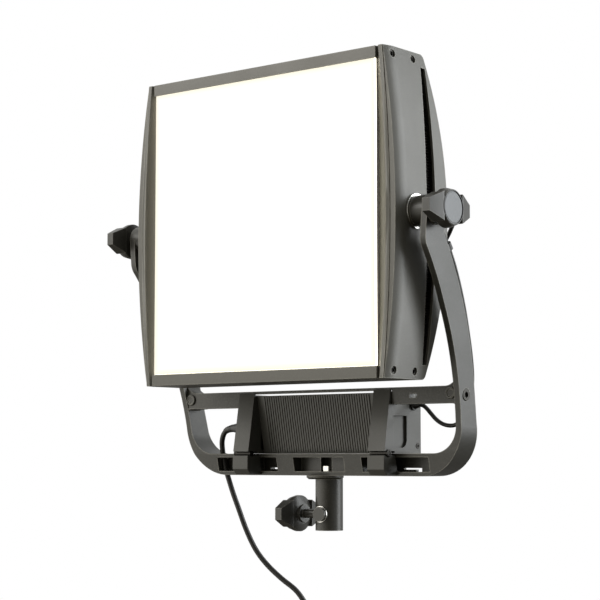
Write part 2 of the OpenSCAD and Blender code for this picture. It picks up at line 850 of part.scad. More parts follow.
module psu_bracket_pins() {
    color(dark) both_sides() {
        rod_x(psu_x - psu_cap_w, psu_x + 0.5, pin_r, pin_y, pin_z);
        difference() {
            rod_x(psu_x + 0.1, psu_x + 1.6, 4, pin_y, pin_z);
            rod_x(psu_x + 1, psu_x + 3, 2, pin_y, pin_z);
        }
    }
}

module mains_gland() {
    color(dark) translate([0, gland_y, gland_z]) {
        rod_x(-107, -100, 4);
        translate([-110, 0, 0]) rotate([0, 90, 0]) cylinder(r = 8, h = 5, $fn = 6);
        translate([-122, 0, 0]) rotate([0, 90, 0]) cylinder(r1 = 4.3, r2 = 6.6, h = 12);
    }
}

module dc_gland() {
    color(dark) translate([psu_x, dc_exit[1], dc_exit[2]]) {
        rod_x(-4, 0.1, 3);
        rod_x(0, 2.5, 6);
        translate([2.5, 0, 0]) rotate([0, 90, 0]) cylinder(r1 = 4.6, r2 = 2.7, h = 6.5);
    }
}

// ---------- Stand receiver ----------

module receiver() {
    color(charcoal) difference() {
        union() {
            rod_z(0, 57, receiver_r);
            translate([-2.5, -4, 56]) cylinder(r1 = 18, r2 = 20.5, h = 2);
            rod_z(58, rail_z0, 20.5, -2.5, -4);
        }
        rod_z(-1, receiver_depth, receiver_bore_r);
        rod_z(receiver_depth - 1, 70, 3.95);
        rod_x(-20, -4, thread_r + 0.06, 0, clamp_z);
        rod_y(-20, -4, 7.4, 0, clamp_z);
    }
}

module receiver_bolt() {
    color(nickel) {
        rod_z(receiver_depth + 2, 65, 3.9);
        translate([0, 0, 64.5]) cylinder(r = 7.2, h = 6, $fn = 6);
    }
}

module receiver_insert() {
    color(nickel) difference() {
        union() {
            rod_y(-15.6, -9.2, 7.35, 0, clamp_z);
            rod_y(-16.6, -15.2, 9, 0, clamp_z);
        }
        rod_y(-20, -8, 5.05, 0, clamp_z);
        rod_z(0, 40, receiver_r - 0.05 - 6);
        intersection() {
            rod_z(0, 40, receiver_r + 0.05);
            difference() {
                rod_y(-16, -8, 12, 0, clamp_z);
                rod_y(-17, -7, 7.35, 0, clamp_z);
            }
        }
    }
}

module receiver_plug() {
    color(dark) {
        rod_y(-17, -9.6, 5, 0, clamp_z);
        rod_y(-19.6, -16.6, 8, 0, clamp_z);
    }
}

module place_receiver_knob()
    translate([-34, 0, clamp_z]) rotate([0, -90, 0]) rotate([0, 0, 90]) children();

module receiver_knob() {
    place_receiver_knob() wing_knob(0);
    color([0.6, 0.6, 0.6]) rod_x(-35, -10.5, thread_r, 0, clamp_z);
}

module receiver_knob_cap() place_receiver_knob() knob_cap();

module receiver_pad() {
    color([0.75, 0.62, 0.3]) rod_x(-10.4, -8.3, thread_r - 0.3, 0, clamp_z);
}

// ---------- Leads ----------

clip_angle = 35;

// A saddle on the arm's rear edge, with the low voltage lead through its loop.
module cable_clip() {
    edge = arc_c + (arc_r + band_w / 2) * [cos(clip_angle), sin(clip_angle)];
    color(dark) translate([199, edge[0], edge[1]]) rotate([clip_angle, 0, 0]) difference() {
        union() {
            translate([-4, 0.05, -4]) cube([8, 2, 8]);
            translate([0, 4.7, -4]) cylinder(r = 4.3, h = 8);
        }
        translate([0, 4.7, -6]) cylinder(r = dc_d / 2 + 0.6, h = 12);
    }
}

module dc_lead() {
    color(dark) tube(curve(dc_route, 2), dc_d / 2, 8);
}

module mains_lead() {
    color(dark) tube(curve(mains_route, 2), mains_d / 2, 10);
}

module mains_coil() {
    color(dark) translate(coil_c) rotate([0, 90, 0]) rotate_extrude()
        translate([coil_mid_r - coil_half_r, -coil_half_w]) square([2 * coil_half_r, 2 * coil_half_w]);
}

module coil_tie() {
    inner = [2 * coil_half_w + 0.4, 12, 2 * coil_half_r + 2];
    color([0.05, 0.05, 0.05]) translate(coil_c) rotate([-40, 0, 0]) rotate([180, 0, 0])
        translate([0, 0, coil_mid_r]) difference() {
            cube(inner + [3, 0, 3], center = true);
            cube(inner + [0, 2, 0], center = true);
        }
}

module mains_plug() {
    color(dark) translate([plug_x, plug_y, coil_c[2]]) {
        translate([0, 0, -46]) cylinder(r1 = 6.5, r2 = 3.4, h = 26);
        box([-9, -13, -76], [9, 13, -50]);
        box([-7, -10, -50], [7, 10, -46]);
    }
}

module plug_blades() {
    color([0.8, 0.7, 0.4]) translate([plug_x, plug_y, coil_c[2] - 76]) {
        for (y = [-6.35, 6.35]) box([-3.2, y - 0.75, -16], [3.2, y + 0.75, 0]);
        rod_z(-19, 0, 2.4, 6, 0);
    }
}

bezel_top();
bezel_bottom();
side_frame_left();
side_frame_right();
side_cover_left();
side_cover_right();
rear_shell();
diffuser();
light_box();
led_board();
led_emitters();
heat_sink();
driver_board();
fan_frame();
fan_rotor();
fan_grille();
control_console();
display_window();
dimmer_knob();
colour_knob();
menu_button();
mode_button();
power_rocker();
dc_inlet();
dc_plug();
side_screws();
pivot_washers();
pivot_studs();
yoke();
cross_rail();
cross_rail_screws();
psu_body();
psu_cap_left();
psu_cap_right();
psu_board();
psu_screws();
psu_brackets();
psu_bracket_pins();
receiver();
receiver_bolt();
receiver_insert();
receiver_plug();
receiver_knob();
receiver_knob_cap();
receiver_pad();
tilt_knob_left();
tilt_cap_left();
tilt_washer_left();
tilt_washer_right();
tilt_knob_right();
tilt_cap_right();
cable_clip();
mains_gland();
dc_gland();
dc_lead();
mains_lead();
mains_coil();
coil_tie();
mains_plug();
plug_blades();
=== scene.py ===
"""LED panel light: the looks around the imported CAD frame. Metres, row frame."""

import math

import bmesh
import bpy
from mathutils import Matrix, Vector


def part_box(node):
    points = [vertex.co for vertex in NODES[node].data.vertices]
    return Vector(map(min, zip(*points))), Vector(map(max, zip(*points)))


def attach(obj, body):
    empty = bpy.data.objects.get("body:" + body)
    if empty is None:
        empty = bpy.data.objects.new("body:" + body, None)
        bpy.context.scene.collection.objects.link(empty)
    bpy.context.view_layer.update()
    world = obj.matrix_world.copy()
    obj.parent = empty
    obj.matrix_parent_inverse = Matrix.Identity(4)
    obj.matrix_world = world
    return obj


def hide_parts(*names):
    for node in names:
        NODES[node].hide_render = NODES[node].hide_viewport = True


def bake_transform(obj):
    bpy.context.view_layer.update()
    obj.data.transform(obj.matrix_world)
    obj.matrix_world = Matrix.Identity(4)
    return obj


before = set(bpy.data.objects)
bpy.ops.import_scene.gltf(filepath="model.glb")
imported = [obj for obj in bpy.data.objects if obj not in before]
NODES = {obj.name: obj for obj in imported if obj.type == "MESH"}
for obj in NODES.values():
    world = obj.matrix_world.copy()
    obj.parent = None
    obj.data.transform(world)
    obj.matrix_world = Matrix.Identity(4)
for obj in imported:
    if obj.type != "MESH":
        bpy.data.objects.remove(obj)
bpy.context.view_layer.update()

ROOT, HEAD = "yoke_and_supply", "light_head"
MM = 0.001
# A point on the head's tilt axis, and the head's front plane.
PIVOT = Vector((0, -0.089, 0.3275))
FRONT_Y = -0.121
CAMERA_AT = (1.1917, -1.5271, 0.0779)
CAMERA_FORWARD = (-0.6256, 0.7748, 0.0906)
FLOOR_Z = -0.9
FLOOR_R = 6


# ---------- Camera, lights and floor ----------


def make_camera():
    data = bpy.data.cameras.new("camera")
    data.lens = 105
    data.sensor_width = 36
    data.clip_start, data.clip_end = 0.05, 60
    cam = bpy.data.objects.new("camera", data)
    cam.location = CAMERA_AT
    cam.rotation_mode = "QUATERNION"
    cam.rotation_quaternion = Vector(CAMERA_FORWARD).to_track_quat("-Z", "Y")
    bpy.context.scene.collection.objects.link(cam)
    bpy.context.scene.camera = cam


def area_light(name, location, target, size, energy, colour=(1, 1, 1)):
    data = bpy.data.lights.new(name, "AREA")
    data.shape = "RECTANGLE"
    data.size, data.size_y = size
    data.energy = energy
    data.color = colour
    lamp = bpy.data.objects.new(name, data)
    lamp.location = location
    lamp.rotation_mode = "QUATERNION"
    lamp.rotation_quaternion = (Vector(target) - Vector(location)).to_track_quat("-Z", "Y")
    bpy.context.scene.collection.objects.link(lamp)


# Each broad light around the object: direction, strength, width (higher is narrower) and tint.
STUDIO = [
    ((0.15, 0.85, 0.50), 0.80, 2.0, (0.97, 1.00, 1.03)),
    ((0.90, 0.05, 0.43), 0.55, 3.0, (0.96, 1.00, 1.02)),
    ((-0.62, -0.78, 0.05), 1.35, 3.0, (1.00, 0.975, 0.90)),
    ((-0.60, 0.0, 0.80), 0.5, 3.0, (1.0, 1.0, 0.98)),
    ((-0.97, -0.20, 0.10), 0.9, 4.0, (1.0, 1.0, 0.97)),
]
STUDIO_BASE = (0.040, 0.032, 0.016)


def make_world():
    """A studio of broad soft lights over a dim base, which the camera itself sees as plain white."""
    world = bpy.data.worlds.new("studio")
    bpy.context.scene.world = world
    world.use_nodes = True
    tree = world.node_tree
    tree.nodes.clear()
    link = tree.links.new
    new = tree.nodes.new
    out = new("ShaderNodeOutputWorld")
    seen = new("ShaderNodeBackground")
    seen.inputs["Color"].default_value = (1, 1, 1, 1)
    coord = new("ShaderNodeTexCoord").outputs["Generated"]
    total = None
    for direction, strength, width, tint in STUDIO:
        dot = new("ShaderNodeVectorMath")
        dot.operation = "DOT_PRODUCT"
        dot.inputs[1].default_value = Vector(direction).normalized()
        link(coord, dot.inputs[0])
        value = dot.outputs["Value"]
        for operation, amount in (("MAXIMUM", 0.0), ("POWER", width), ("MULTIPLY", strength)):
            node = new("ShaderNodeMath")
            node.operation = operation
            node.inputs[1].default_value = amount
            link(value, node.inputs[0])
            value = node.outputs[0]
        tinted = new("ShaderNodeVectorMath")
        tinted.operation = "SCALE"
        tinted.inputs[0].default_value = tint
        link(value, tinted.inputs["Scale"])
        summed = new("ShaderNodeVectorMath")
        summed.operation = "ADD"
        link(tinted.outputs[0], summed.inputs[0])
        if total is None:
            summed.inputs[1].default_value = STUDIO_BASE
        else:
            link(total, summed.inputs[1])
        total = summed.outputs[0]
    lit = new("ShaderNodeBackground")
    link(total, lit.inputs["Color"])
    path = new("ShaderNodeLightPath")
    mix = new("ShaderNodeMixShader")
    link(path.outputs["Is Camera Ray"], mix.inputs["Fac"])
    link(lit.outputs[0], mix.inputs[1])
    link(seen.outputs[0], mix.inputs[2])
    link(mix.outputs[0], out.inputs["Surface"])


def make_floor():
    mesh = bpy.data.meshes.new("floor")
    bm = bmesh.new()
    bmesh.ops.create_circle(bm, cap_ends=True, segments=96, radius=FLOOR_R)
    bm.to_mesh(mesh)
    bm.free()
    floor = bpy.data.objects.new("floor", mesh)
    floor.location = (0, 0, FLOOR_Z)
    bpy.context.scene.collection.objects.link(floor)
    mat = bpy.data.materials.new("floor_pale")
    mat.use_nodes = True
    shader = mat.node_tree.nodes["Principled BSDF"]
    shader.inputs["Base Color"].default_value = (0.83, 0.83, 0.82, 1)
    shader.inputs["Roughness"].default_value = 0.8
    shader.inputs["Emission Color"].default_value = (1, 1, 1, 1)
    shader.inputs["Emission Strength"].default_value = 0.3
    mesh.materials.append(mat)
    floor.visible_diffuse = False
    floor.visible_glossy = False


make_camera()
make_world()
make_floor()
area_light("soft_right", (1.28, 0.95, 0.50), (0.2, -0.05, 0.32), (0.85, 1.5), 19, (0.96, 0.99, 1.0))
area_light("soft_front_left", (-1.3, -1.7, 1.3), (0, 0, 0.3), (1.0, 1.0), 12, (1.0, 0.98, 0.94))
bpy.context.scene.view_settings.view_transform = "Standard"


# ---------- Materials ----------

# Half the width and height of the diffuser's face, and the width of its warmer fringe.
GLOW_HALF_W, GLOW_HALF_H, GLOW_FRINGE = 0.1523, 0.1563, 0.030
# How far from an edge its rubbed wear and painted highlight reach on the larger pieces.
EDGE_WEAR_AND_HIGHLIGHT_R = 0.0020


class Shade:
    """A Principled material with a few helpers for procedural detail."""

    def __init__(self, name):
        self.mat = bpy.data.materials.new(name)
        self.mat.use_nodes = True
        self.tree = self.mat.node_tree
        self.bsdf = self.tree.nodes["Principled BSDF"]
        self.coord = self.tree.nodes.new("ShaderNodeTexCoord").outputs["Object"]

    def set(self, **sockets):
        for name, value in sockets.items():
            self.bsdf.inputs[name.replace("_", " ")].default_value = value
        return self

    def link(self, a, b):
        self.tree.links.new(a, b)

    def mapped(self, stretch):
        node = self.tree.nodes.new("ShaderNodeMapping")
        node.inputs["Scale"].default_value = stretch
        self.link(self.coord, node.inputs["Vector"])
        return node.outputs["Vector"]

    def noise(self, scale, detail=3, rough=0.55, stretch=None):
        node = self.tree.nodes.new("ShaderNodeTexNoise")
        node.inputs["Scale"].default_value = scale
        node.inputs["Detail"].default_value = detail
        node.inputs["Roughness"].default_value = rough
        self.link(self.mapped(stretch) if stretch else self.coord, node.inputs["Vector"])
        return node.outputs["Fac"]

    def voronoi(self, scale):
        node = self.tree.nodes.new("ShaderNodeTexVoronoi")
        node.inputs["Scale"].default_value = scale
        self.link(self.coord, node.inputs["Vector"])
        return node.outputs["Distance"]

    def span(self, value, low, high, start=0.0, end=1.0):
        node = self.tree.nodes.new("ShaderNodeMapRange")
        node.inputs["From Min"].default_value = start
        node.inputs["From Max"].default_value = end
        node.inputs["To Min"].default_value = low
        node.inputs["To Max"].default_value = high
        self.link(value, node.inputs["Value"])
        return node.outputs["Result"]

    def math(self, operation, a, b):
        node = self.tree.nodes.new("ShaderNodeMath")
        node.operation = operation
        for socket, value in zip(node.inputs, (a, b)):
            if isinstance(value, (int, float)):
                socket.default_value = value
            else:
                self.link(value, socket)
        return node.outputs["Value"]

    def blend(self, factor, a, b):
        node = self.tree.nodes.new("ShaderNodeMix")
        node.data_type = "RGBA"
        for socket, value in ((node.inputs[6], a), (node.inputs[7], b)):
            if isinstance(value, tuple):
                socket.default_value = (*value, 1)
            else:
                self.link(value, socket)
        self.link(factor, node.inputs["Factor"])
        return node.outputs[2]

    def edges(self, radius=EDGE_WEAR_AND_HIGHLIGHT_R):
        """About 1 along rounded edges, broken up, and 0 on open faces: the mask of rubbed wear and of a
        painted highlight along the edges.
        """
        rounded = self.tree.nodes.new("ShaderNodeBevel")
        rounded.samples = 4
        rounded.inputs["Radius"].default_value = radius
        geo = self.tree.nodes.new("ShaderNodeNewGeometry")
        dot = self.tree.nodes.new("ShaderNodeVectorMath")
        dot.operation = "DOT_PRODUCT"
        self.link(rounded.outputs["Normal"], dot.inputs[0])
        self.link(geo.outputs["Normal"], dot.inputs[1])
        edge = self.span(dot.outputs["Value"], 1, 0, 0.78, 0.97)
        return self.math("MULTIPLY", edge, self.span(self.noise(60, 3), 0.45, 1.0, 0.35, 0.6))

    def colour(self, value):
        self.link(value, self.bsdf.inputs["Base Color"])
        return self

    def roughness(self, value):
        self.link(value, self.bsdf.inputs["Roughness"])
        return self

    def bump(self, height, distance, strength=1.0):
        node = self.tree.nodes.new("ShaderNodeBump")
        node.inputs["Strength"].default_value = strength
        node.inputs["Distance"].default_value = distance
        self.link(height, node.inputs["Height"])
        self.link(node.outputs["Normal"], self.bsdf.inputs["Normal"])
        return self


def painted(name, base, worn_and_highlight, rough, grain=2600, depth=0.00005, edge=EDGE_WEAR_AND_HIGHLIGHT_R):
    """Powder coat: a fine orange peel grain, cloudy sheen, and paler edges, which are both rubbed wear and a
    painted highlight.
    """
    s = Shade(name)
    cloud = s.noise(7, 2)
    shade = s.blend(s.span(cloud, 0, 1, 0.3, 0.7), base, tuple(c * 1.07 for c in base))
    speck = s.span(s.noise(grain * 0.6, 2), 0, 0.22, 0.5, 0.8)
    shade = s.blend(speck, shade, worn_and_highlight)
    # Edges lighten towards the pale colour: rubbed wear, and a painted highlight along them.
    s.colour(s.blend(s.edges(edge), shade, worn_and_highlight))
    s.roughness(s.span(s.noise(22, 3), rough - 0.03, rough + 0.03, 0.3, 0.7))
    return s.bump(s.noise(grain, 2, 0.6), depth, 0.45)


def moulded(name, base, rough, grain=1800, depth=0.00005, worn_and_highlight=None):
    """Moulded plastic or rubber with a fine spark texture."""
    s = Shade(name)
    shade = s.blend(s.span(s.noise(12, 2), 0, 1, 0.3, 0.7), base, tuple(c * 1.12 + 0.001 for c in base))
    # Edges lighten towards the pale colour, if one is given: rubbed wear, and a painted highlight along them.
    if worn_and_highlight:
        shade = s.blend(s.edges(), shade, worn_and_highlight)
    s.colour(shade)
    s.roughness(s.span(s.noise(40, 3), rough - 0.04, rough + 0.05, 0.3, 0.7))
    return s.bump(s.noise(grain, 3, 0.6), depth, 0.5)


def metal(name, base, rough, brushed=(1, 1, 1)):
    """Bare or plated metal. Its fine grain is drawn out along the axes that are lowest in brushed."""
    s = Shade(name).set(Metallic=1.0)
    streak = s.noise(900, 4, 0.7, stretch=brushed)
    s.colour(s.blend(s.span(streak, 0, 1, 0.3, 0.7), base, tuple(c * 0.82 for c in base)))
    s.roughness(s.span(streak, rough * 0.7, rough * 1.4, 0.3, 0.7))
    return s.bump(streak, 0.00002, 0.4)


def glowing_sheet():
    """Opal diffuser lit from behind: a warmer, dimmer fringe round its face, and a fine prismatic grain."""
    s = Shade("diffuser_glow").set(Roughness=0.45)
    parts = s.tree.nodes.new("ShaderNodeSeparateXYZ")
    s.link(s.coord, parts.inputs[0])
    x = s.math("ABSOLUTE", parts.outputs["X"], 0)
    z = s.math("ABSOLUTE", s.math("SUBTRACT", parts.outputs["Z"], PIVOT.z), 0)
    near_side = s.span(x, 0, 1, GLOW_HALF_W - GLOW_FRINGE, GLOW_HALF_W)
    near_end = s.span(z, 0, 1, GLOW_HALF_H - GLOW_FRINGE, GLOW_HALF_H)
    fringe = s.math("POWER", s.math("MAXIMUM", near_side, near_end), 2.0)
    normal = s.tree.nodes.new("ShaderNodeSeparateXYZ")
    s.link(s.tree.nodes.new("ShaderNodeTexCoord").outputs["Normal"], normal.inputs[0])
    rim = s.span(s.math("ABSOLUTE", normal.outputs["Y"], 0), 1, 0, 0.2, 0.8)
    colour = s.blend(fringe, (1.0, 0.99, 0.96), (1.0, 0.94, 0.78))
    s.colour(s.blend(s.noise(60), (0.10, 0.095, 0.08), (0.12, 0.115, 0.10)))
    s.link(colour, s.bsdf.inputs["Emission Color"])
    face = s.span(fringe, 1.35, 0.86)
    s.link(s.math("MAXIMUM", face, s.math("MULTIPLY", rim, 5.0)), s.bsdf.inputs["Emission Strength"])
    return s.bump(s.voronoi(900), 0.00004, 0.3)


# Each paint's second colour is the pale one of its grain flecks and of its edges, where it is rubbed wear and
# a painted highlight.
HEAD_PAINT = painted("head_paint", (0.098, 0.094, 0.080), (0.36, 0.348, 0.30), 0.36)
SHELL_PAINT = painted("shell_paint", (0.094, 0.090, 0.077), (0.17, 0.165, 0.143), 0.38, edge=0.0005)
RIB_PAINT = painted("rib_paint", (0.086, 0.084, 0.075), (0.24, 0.236, 0.212), 0.42, edge=0.0003)
YOKE_PAINT = painted("yoke_paint", (0.030, 0.0284, 0.0225), (0.30, 0.29, 0.25), 0.36, 2100, 0.00006)
SUPPLY_PAINT = painted("supply_paint", (0.048, 0.0463, 0.039), (0.20, 0.196, 0.172), 0.40, edge=0.0005)
# The knob's and the dark plastic's last colour lights their edges: rubbed wear and a painted highlight.
KNOB = moulded("knob_plastic", (0.046, 0.0445, 0.039), 0.32, 1500, 0.00006, (0.28, 0.274, 0.25))
DARK = moulded("dark_plastic", (0.024, 0.023, 0.021), 0.42, worn_and_highlight=(0.07, 0.069, 0.064))
BLACK = moulded("black_plastic", (0.014, 0.0135, 0.012), 0.32)
JACKET = moulded("lead_jacket", (0.016, 0.0152, 0.013), 0.42, 900, 0.00010)
SCREW = metal("black_oxide", (0.045, 0.043, 0.040), 0.36)
STUD = metal("dark_zinc", (0.13, 0.13, 0.13), 0.32, (1, 6, 6))
NICKEL = metal("nickel_plate", (0.78, 0.77, 0.74), 0.16, (1, 5, 5))
ALUMINIUM = metal("cut_aluminium", (0.72, 0.72, 0.73), 0.30, (1, 1, 12))
BRASS = metal("turned_brass", (0.78, 0.60, 0.28), 0.25, (1, 6, 6))
CAP = metal("cap_disc", (0.092, 0.094, 0.096), 0.34, (1, 8, 8))
WHITE = moulded("white_enamel", (0.80, 0.80, 0.78), 0.45)
NYLON = moulded("white_nylon", (0.70, 0.70, 0.67), 0.40)
BOARD = moulded("green_board", (0.020, 0.13, 0.055), 0.35)
LED_BOARD = moulded("white_board", (0.72, 0.72, 0.69), 0.45)
EMITTER = moulded("phosphor", (0.82, 0.66, 0.22), 0.30)
RED = moulded("red_rocker", (0.32, 0.018, 0.014), 0.30)
KEY = moulded("soft_key", (0.085, 0.085, 0.088), 0.55)
MARK = moulded("printed_mark", (0.62, 0.62, 0.60), 0.50)
SCREEN = moulded("display_glass", (0.006, 0.008, 0.010), 0.10, 400, 0.00001)
STRAP = moulded("woven_strap", (0.014, 0.013, 0.012), 0.80, 700, 0.0003)
GLOW = glowing_sheet()

NODE_FINISH = {
    HEAD_PAINT: [
        "bezel_top", "bezel_bottom", "side_frame_left", "side_frame_right", "side_cover_left",
        "side_cover_right",
    ],
    SHELL_PAINT: ["rear_shell"],
    RIB_PAINT: ["psu_body"],
    YOKE_PAINT: ["yoke", "cross_rail", "receiver"],
    SUPPLY_PAINT: ["psu_cap_left", "psu_cap_right", "psu_brackets"],
    KNOB: [
        "receiver_knob", "tilt_knob_left", "tilt_knob_right", "dimmer_knob", "colour_knob", "receiver_plug",
    ],
    DARK: ["control_console", "cable_clip", "dc_plug"],
    BLACK: ["fan_frame", "fan_rotor", "dc_inlet", "mains_gland", "dc_gland", "mains_plug"],
    JACKET: ["dc_lead", "mains_lead", "mains_coil"],
    SCREW: ["fan_grille", "side_screws", "cross_rail_screws", "psu_screws", "psu_bracket_pins"],
    STUD: ["pivot_studs"],
    NICKEL: ["pivot_washers", "receiver_bolt", "receiver_insert"],
    ALUMINIUM: ["heat_sink"],
    BRASS: ["receiver_pad", "plug_blades"],
    CAP: ["receiver_knob_cap", "tilt_cap_left", "tilt_cap_right"],
    WHITE: ["light_box"],
    NYLON: ["tilt_washer_left", "tilt_washer_right"],
    BOARD: ["driver_board", "psu_board"],
    LED_BOARD: ["led_board"],
    EMITTER: ["led_emitters"],
    RED: ["power_rocker"],
    KEY: ["menu_button", "mode_button"],
    SCREEN: ["display_window"],
    STRAP: ["coil_tie"],
    GLOW: ["diffuser"],
}
# Edge radius of each softened CAD node, in millimetres.
EDGE = {
    "bezel_top": 0.5, "bezel_bottom": 0.5, "side_frame_left": 0.4, "side_frame_right": 0.4,
    "side_cover_left": 0.5, "side_cover_right": 0.5, "rear_shell": 0.4, "yoke": 0.7, "cross_rail": 0.6,
    "receiver": 0.5, "psu_body": 0.25, "psu_cap_left": 0.7, "psu_cap_right": 0.7, "psu_brackets": 0.6,
    "receiver_knob": 0.7, "tilt_knob_left": 0.7, "tilt_knob_right": 0.7, "dimmer_knob": 0.4,
    "colour_knob": 0.4, "receiver_plug": 0.5, "control_console": 0.8, "cable_clip": 0.4, "dc_plug": 0.4,
    "dc_inlet": 0.3, "mains_gland": 0.3, "dc_gland": 0.3, "fan_grille": 0.25, "side_screws": 0.25,
    "cross_rail_screws": 0.3, "psu_screws": 0.2, "psu_bracket_pins": 0.25, "pivot_studs": 0.3,
    "pivot_washers": 0.3, "receiver_bolt": 0.3, "receiver_insert": 0.3, "receiver_knob_cap": 0.25,
    "tilt_cap_left": 0.25, "tilt_cap_right": 0.25, "tilt_washer_left": 0.2, "tilt_washer_right": 0.2,
    "menu_button": 0.4, "mode_button": 0.4, "power_rocker": 0.3, "display_window": 0.1,
}


def soften(node, radius_mm):
    """Rounds a CAD node's edges with modifiers. Its own mesh stays as it came from model.glb."""
    mesh = node.data
    if "custom_normal" in mesh.attributes:
        mesh.attributes.remove(mesh.attributes["custom_normal"])
    mesh.polygons.foreach_set("use_smooth", [True] * len(mesh.polygons))
    weld = node.modifiers.new("weld", "WELD")
    weld.merge_threshold = 2e-6
    flat = node.modifiers.new("flatten", "DECIMATE")
    flat.decimate_type = "DISSOLVE"
    flat.angle_limit = math.radians(0.4)
    round_off = node.modifiers.new("round", "BEVEL")
    round_off.width = radius_mm * MM
    round_off.segments = 2
    round_off.limit_method = "ANGLE"
    round_off.angle_limit = math.radians(28)
    round_off.use_clamp_overlap = True
    even = node.modifiers.new("even", "WEIGHTED_NORMAL")
    even.weight = 60
    even.keep_sharp = True


for shade, names in NODE_FINISH.items():
    for name in names:
        mesh = NODES[name].data
        mesh.materials.clear()
        mesh.materials.append(shade.mat)
for name, radius in EDGE.items():
    soften(NODES[name], radius)


# ---------- Mesh helpers ----------


def add_mesh(name, verts, faces, shade, slot, smooth=True):
    mesh = bpy.data.meshes.new(name)
    mesh.from_pydata([tuple(v) for v in verts], [], faces)
    mesh.validate()
    bm = bmesh.new()
    bm.from_mesh(mesh)
    bmesh.ops.recalc_face_normals(bm, faces=bm.faces)
    bm.to_mesh(mesh)
    bm.free()
    if smooth:
        mesh.polygons.foreach_set("use_smooth", [True] * len(mesh.polygons))
    obj = bpy.data.objects.new(name, mesh)
    bpy.context.scene.collection.objects.link(obj)
    mesh.materials.append(shade.mat)
    return obj


def catmull(points, steps):
    """Smooth points through the given ones, steps to each span."""
    p = [Vector(q) for q in points]
    out = []
    for i in range(len(p) - 1):
        a, b, c, d = p[max(i - 1, 0)], p[i], p[i + 1], p[min(i + 2, len(p) - 1)]
        square = 2 * a - 5 * b + 4 * c - d
        cube = 3 * b - a - 3 * c + d
        for s in range(steps):
            t = s / steps
            out.append(0.5 * (2 * b + (c - a) * t + square * t * t + cube * t**3))
    out.append(p[-1])
    return out


def line_length(points):
    return sum((b - a).length for a, b in zip(points, points[1:]))


def skin(rows, sides, capped=True):
    """Faces between rings of vertices, one ring to a row, with a cap on each end."""
    faces = []
    for i in range(rows - 1):
        for k in range(sides):
            a, b = i * sides + k, i * sides + (k + 1) % sides
            faces.append((a, b, b + sides, a + sides))
    if capped:
        faces.append(tuple(range(sides)))
        faces.append(tuple((rows - 1) * sides + k for k in range(sides)))
    return faces


def sweep(path, radii, sides):
    """Vertices and faces of a round tube with its own radius at each point of a path."""
    last = len(path) - 1
    side = (path[1] - path[0]).normalized().orthogonal().normalized()
    verts = []
    for i, (p, r) in enumerate(zip(path, radii)):
        tangent = (path[min(i + 1, last)] - path[max(i - 1, 0)]).normalized()
        side = (side - tangent * side.dot(tangent)).normalized()
        up = tangent.cross(side)
        for k in range(sides):
            a = 2 * math.pi * k / sides
            verts.append(p + r * (math.cos(a) * side + math.sin(a) * up))
    return verts, skin(len(path), sides)


def box_corners(low, high):
    return [(x, y, z) for x in (low[0], high[0]) for y in (low[1], high[1]) for z in (low[2], high[2])]


def box_faces(first):
    """Faces of a box whose eight corners start at the given vertex."""
    sides = ((0, 1, 3, 2), (4, 6, 7, 5), (0, 4, 5, 1), (2, 3, 7, 6), (0, 2, 6, 4), (1, 5, 7, 3))
    return [tuple(first + i for i in side) for side in sides]


def sharpen(piece, degrees=35):
    piece.data.set_sharp_from_angle(angle=math.radians(degrees))


# ---------- Leads ----------

MAINS_D, DC_D = 0.006, 0.0045
MAINS_ROUTE = [
    (-122, -21, 113), (-132, -20, 111), (-140, -17, 106), (-145, -14, 98), (-147, -11, 89),
    (-147, -9, 80), (-145, -8, 68), (-142, -6, 56), (-138, -3, 40), (-132, 0, 22),
    (-125, 6, -3), (-116, 12, -25), (-104, 18, -42), (-88, 24, -57), (-73, 30, -69),
    (-64, 34, -81), (-58, 38, -94), (-56, 41, -108), (-56, 43, -118), (-56, 48, -126),
]
COIL_CENTRE = Vector((-50, 40, -172)) * MM
COIL_MID_R = 35 * MM
COIL_ROWS, COIL_COLUMNS = 4, 3
COIL_PITCH = MAINS_D + 0.0002
DC_ROUTE = [
    (114, 12, 136), (118.5, 12, 134.8), (123, 12.3, 131.4), (128, 12.8, 126), (134, 13.3, 120),
    (141, 14, 115.5), (149, 14.6, 113.4), (157, 15, 114), (165, 14.5, 118.5), (173, 12.5, 127),
    (180, 9, 141), (186, 4, 160), (190, -4, 182), (193, -14, 207), (196, -27, 237),
    (198.4, -42.5, 267), (199, -53.9, 286.7), (199, -63, 299.8), (195.5, -69, 312),
    (189.5, -67, 323), (185.8, -57, 332), (185, -42, 337.5), (183, -25, 339.5), (176, -9, 337),
    (166, 3, 330), (155, 11.5, 320), (144, 15.5, 307.5), (137, 15, 296), (135, 10, 289),
    (135, 4, 287.5), (135, -0.9, 287.5),
]


def in_metres(route):
    return [Vector(p) * MM for p in route]


# The coil's turns in the order that they are wound, as (row from the inside, column).
WINDING = [(3, 0), (3, 1), (2, 1), (2, 0), (1, 0), (0, 0), (0, 1), (1, 1), (1, 2), (2, 2), (3, 2), (3, 2)]
TURN_POINTS = 24
# The part of a turn over which the lead crosses to its next place.
CROSSING = 0.35
# The arc that lays the lead onto the coil's outer turn: how far its centre is behind the coil's, its radius,
# how far off the vertical the lead comes onto it, and its points.
JOIN_Y = 25.85 * MM
JOIN_R = 4 * MAINS_D
JOIN_LEAN = math.radians(12)
JOIN_STEPS = 6
# The route's last points lie on the coil's solid, and the joining arc stands for them.
ROUTE_ON_COIL = 2


def slot_radius(row):
    return COIL_MID_R + (row - (COIL_ROWS - 1) / 2) * COIL_PITCH


